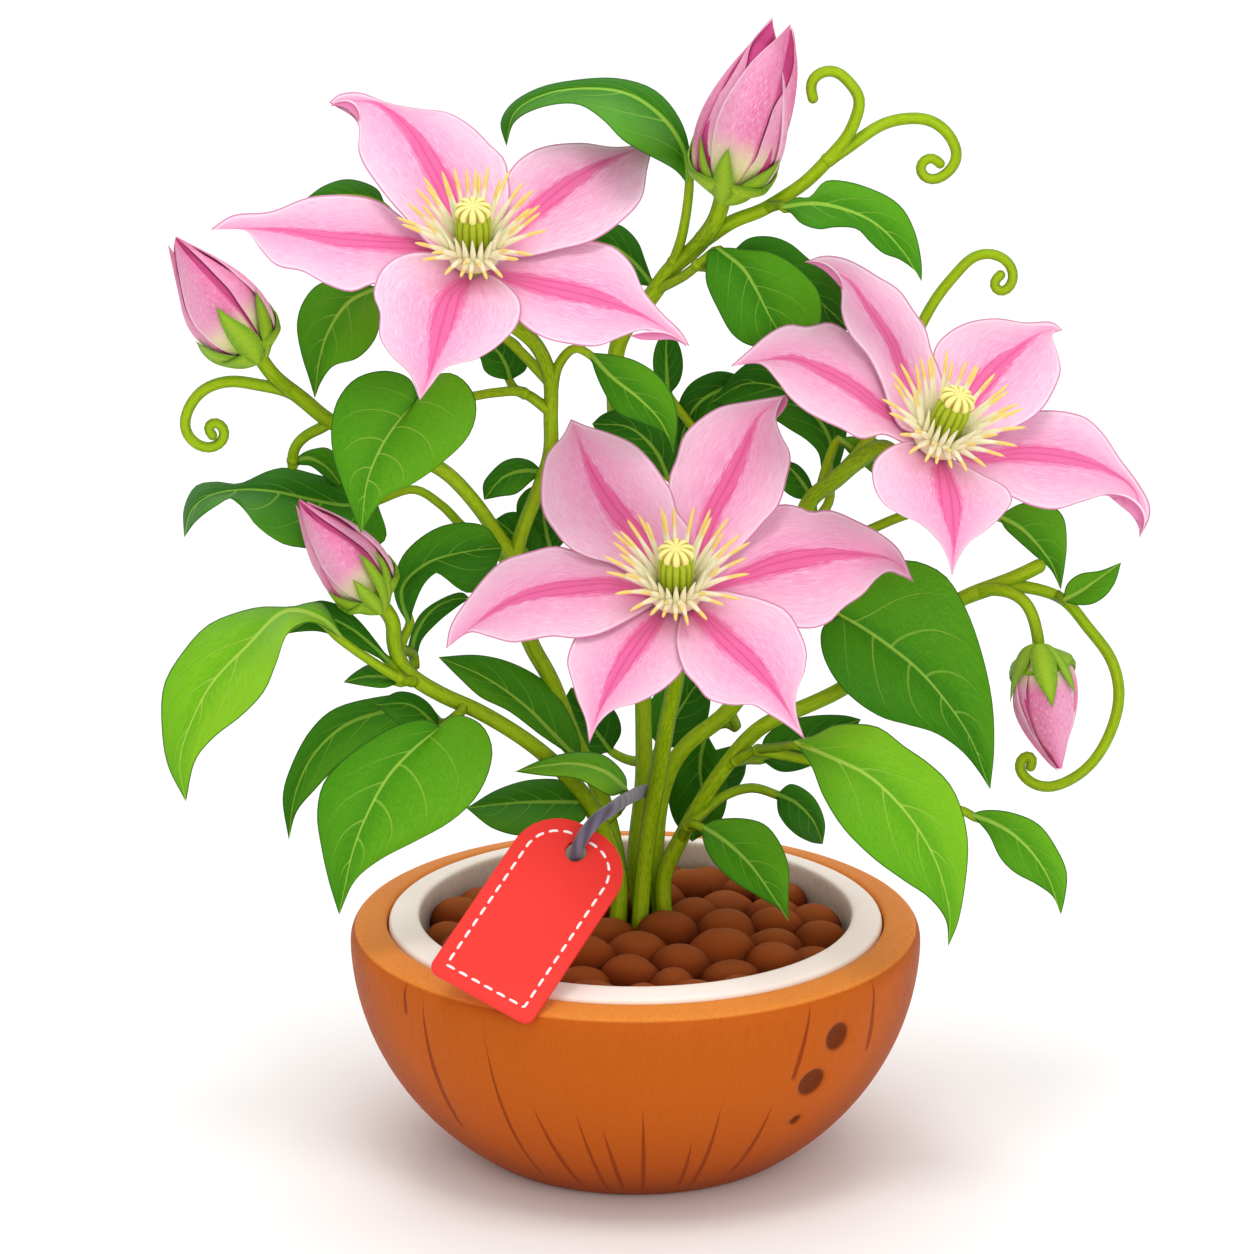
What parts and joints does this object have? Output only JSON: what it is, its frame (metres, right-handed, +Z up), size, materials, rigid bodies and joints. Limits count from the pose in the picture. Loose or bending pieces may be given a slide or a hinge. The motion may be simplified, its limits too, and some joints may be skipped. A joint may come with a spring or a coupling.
{
  "type": "potted flowering plant",
  "caption": "Flowering climber with open star-shaped blooms, buds and curling tendrils, in clay pebbles in half a coconut shell, with a plain hang tag.",
  "frame": {"origin": "centre of the flat foot's underside, on the bowl's axis", "axes": "+Z up along the bowl's axis, -Y towards the front of the plant, +X to its right as seen from the front"},
  "size_m": [0.2335, 0.1432, 0.2851],
  "materials": {
    "shell": "polished",
    "flesh": "smooth, dry",
    "pebbles": "rough fired clay",
    "stem": "smooth, green",
    "leaf": "waxy",
    "petal": "satin",
    "stamen": "matt",
    "pistil": "satin",
    "sepal": "waxy",
    "tag": "smooth, satin",
    "tie": "twisted cord"
  },
  "bodies": {
    "root": {"cane_front": "stem", "cane_left": "stem", "cane_middle": "stem", "cane_right": "stem", "cane_third": "stem", "cane_top": "stem", "coconut_flesh": "flesh", "coconut_shell": "shell", "front_flower_petal_1": "petal", "front_flower_petal_2": "petal", "front_flower_petal_3": "petal", "front_flower_petal_4": "petal", "front_flower_petal_5": "petal", "front_flower_petal_6": "petal", "front_flower_pistil": "pistil", "front_flower_stamens": "stamen", "hang_tag": "tag", "hanging_bud_petals": "petal", "hanging_bud_sepals": "sepal", "leaf_back": "leaf", "leaf_dark_pair": "leaf", "leaf_front_low": "leaf", "leaf_heart_left": "leaf", "leaf_heart_low": "leaf", "leaf_left_arch": "leaf", "leaf_left_large": "leaf", "leaf_left_pair": "leaf", "leaf_low_left": "leaf", "leaf_low_upper": "leaf", "leaf_middle": "leaf", "leaf_right_large": "leaf", "leaf_right_low": "leaf", "leaf_right_tip": "leaf", "leaf_round_pair": "leaf", "leaf_tendril_small": "leaf", "leaf_top_arch": "leaf", "leaf_top_right": "leaf", "leaf_twisted_left": "leaf", "left_bud_petals": "petal", "left_bud_sepals": "sepal", "left_flower_petal_1": "petal", "left_flower_petal_2": "petal", "left_flower_petal_3": "petal", "left_flower_petal_4": "petal", "left_flower_petal_5": "petal", "left_flower_pistil": "pistil", "left_flower_stamens": "stamen", "low_bud_petals": "petal", "low_bud_sepals": "sepal", "pebble_bed": "pebbles", "right_flower_petal_1": "petal", "right_flower_petal_2": "petal", "right_flower_petal_3": "petal", "right_flower_petal_4": "petal", "right_flower_petal_5": "petal", "right_flower_pistil": "pistil", "right_flower_stamens": "stamen", "tag_tie": "tie", "top_bud_petals": "petal", "top_bud_sepals": "sepal"}
  },
  "joints": []
}
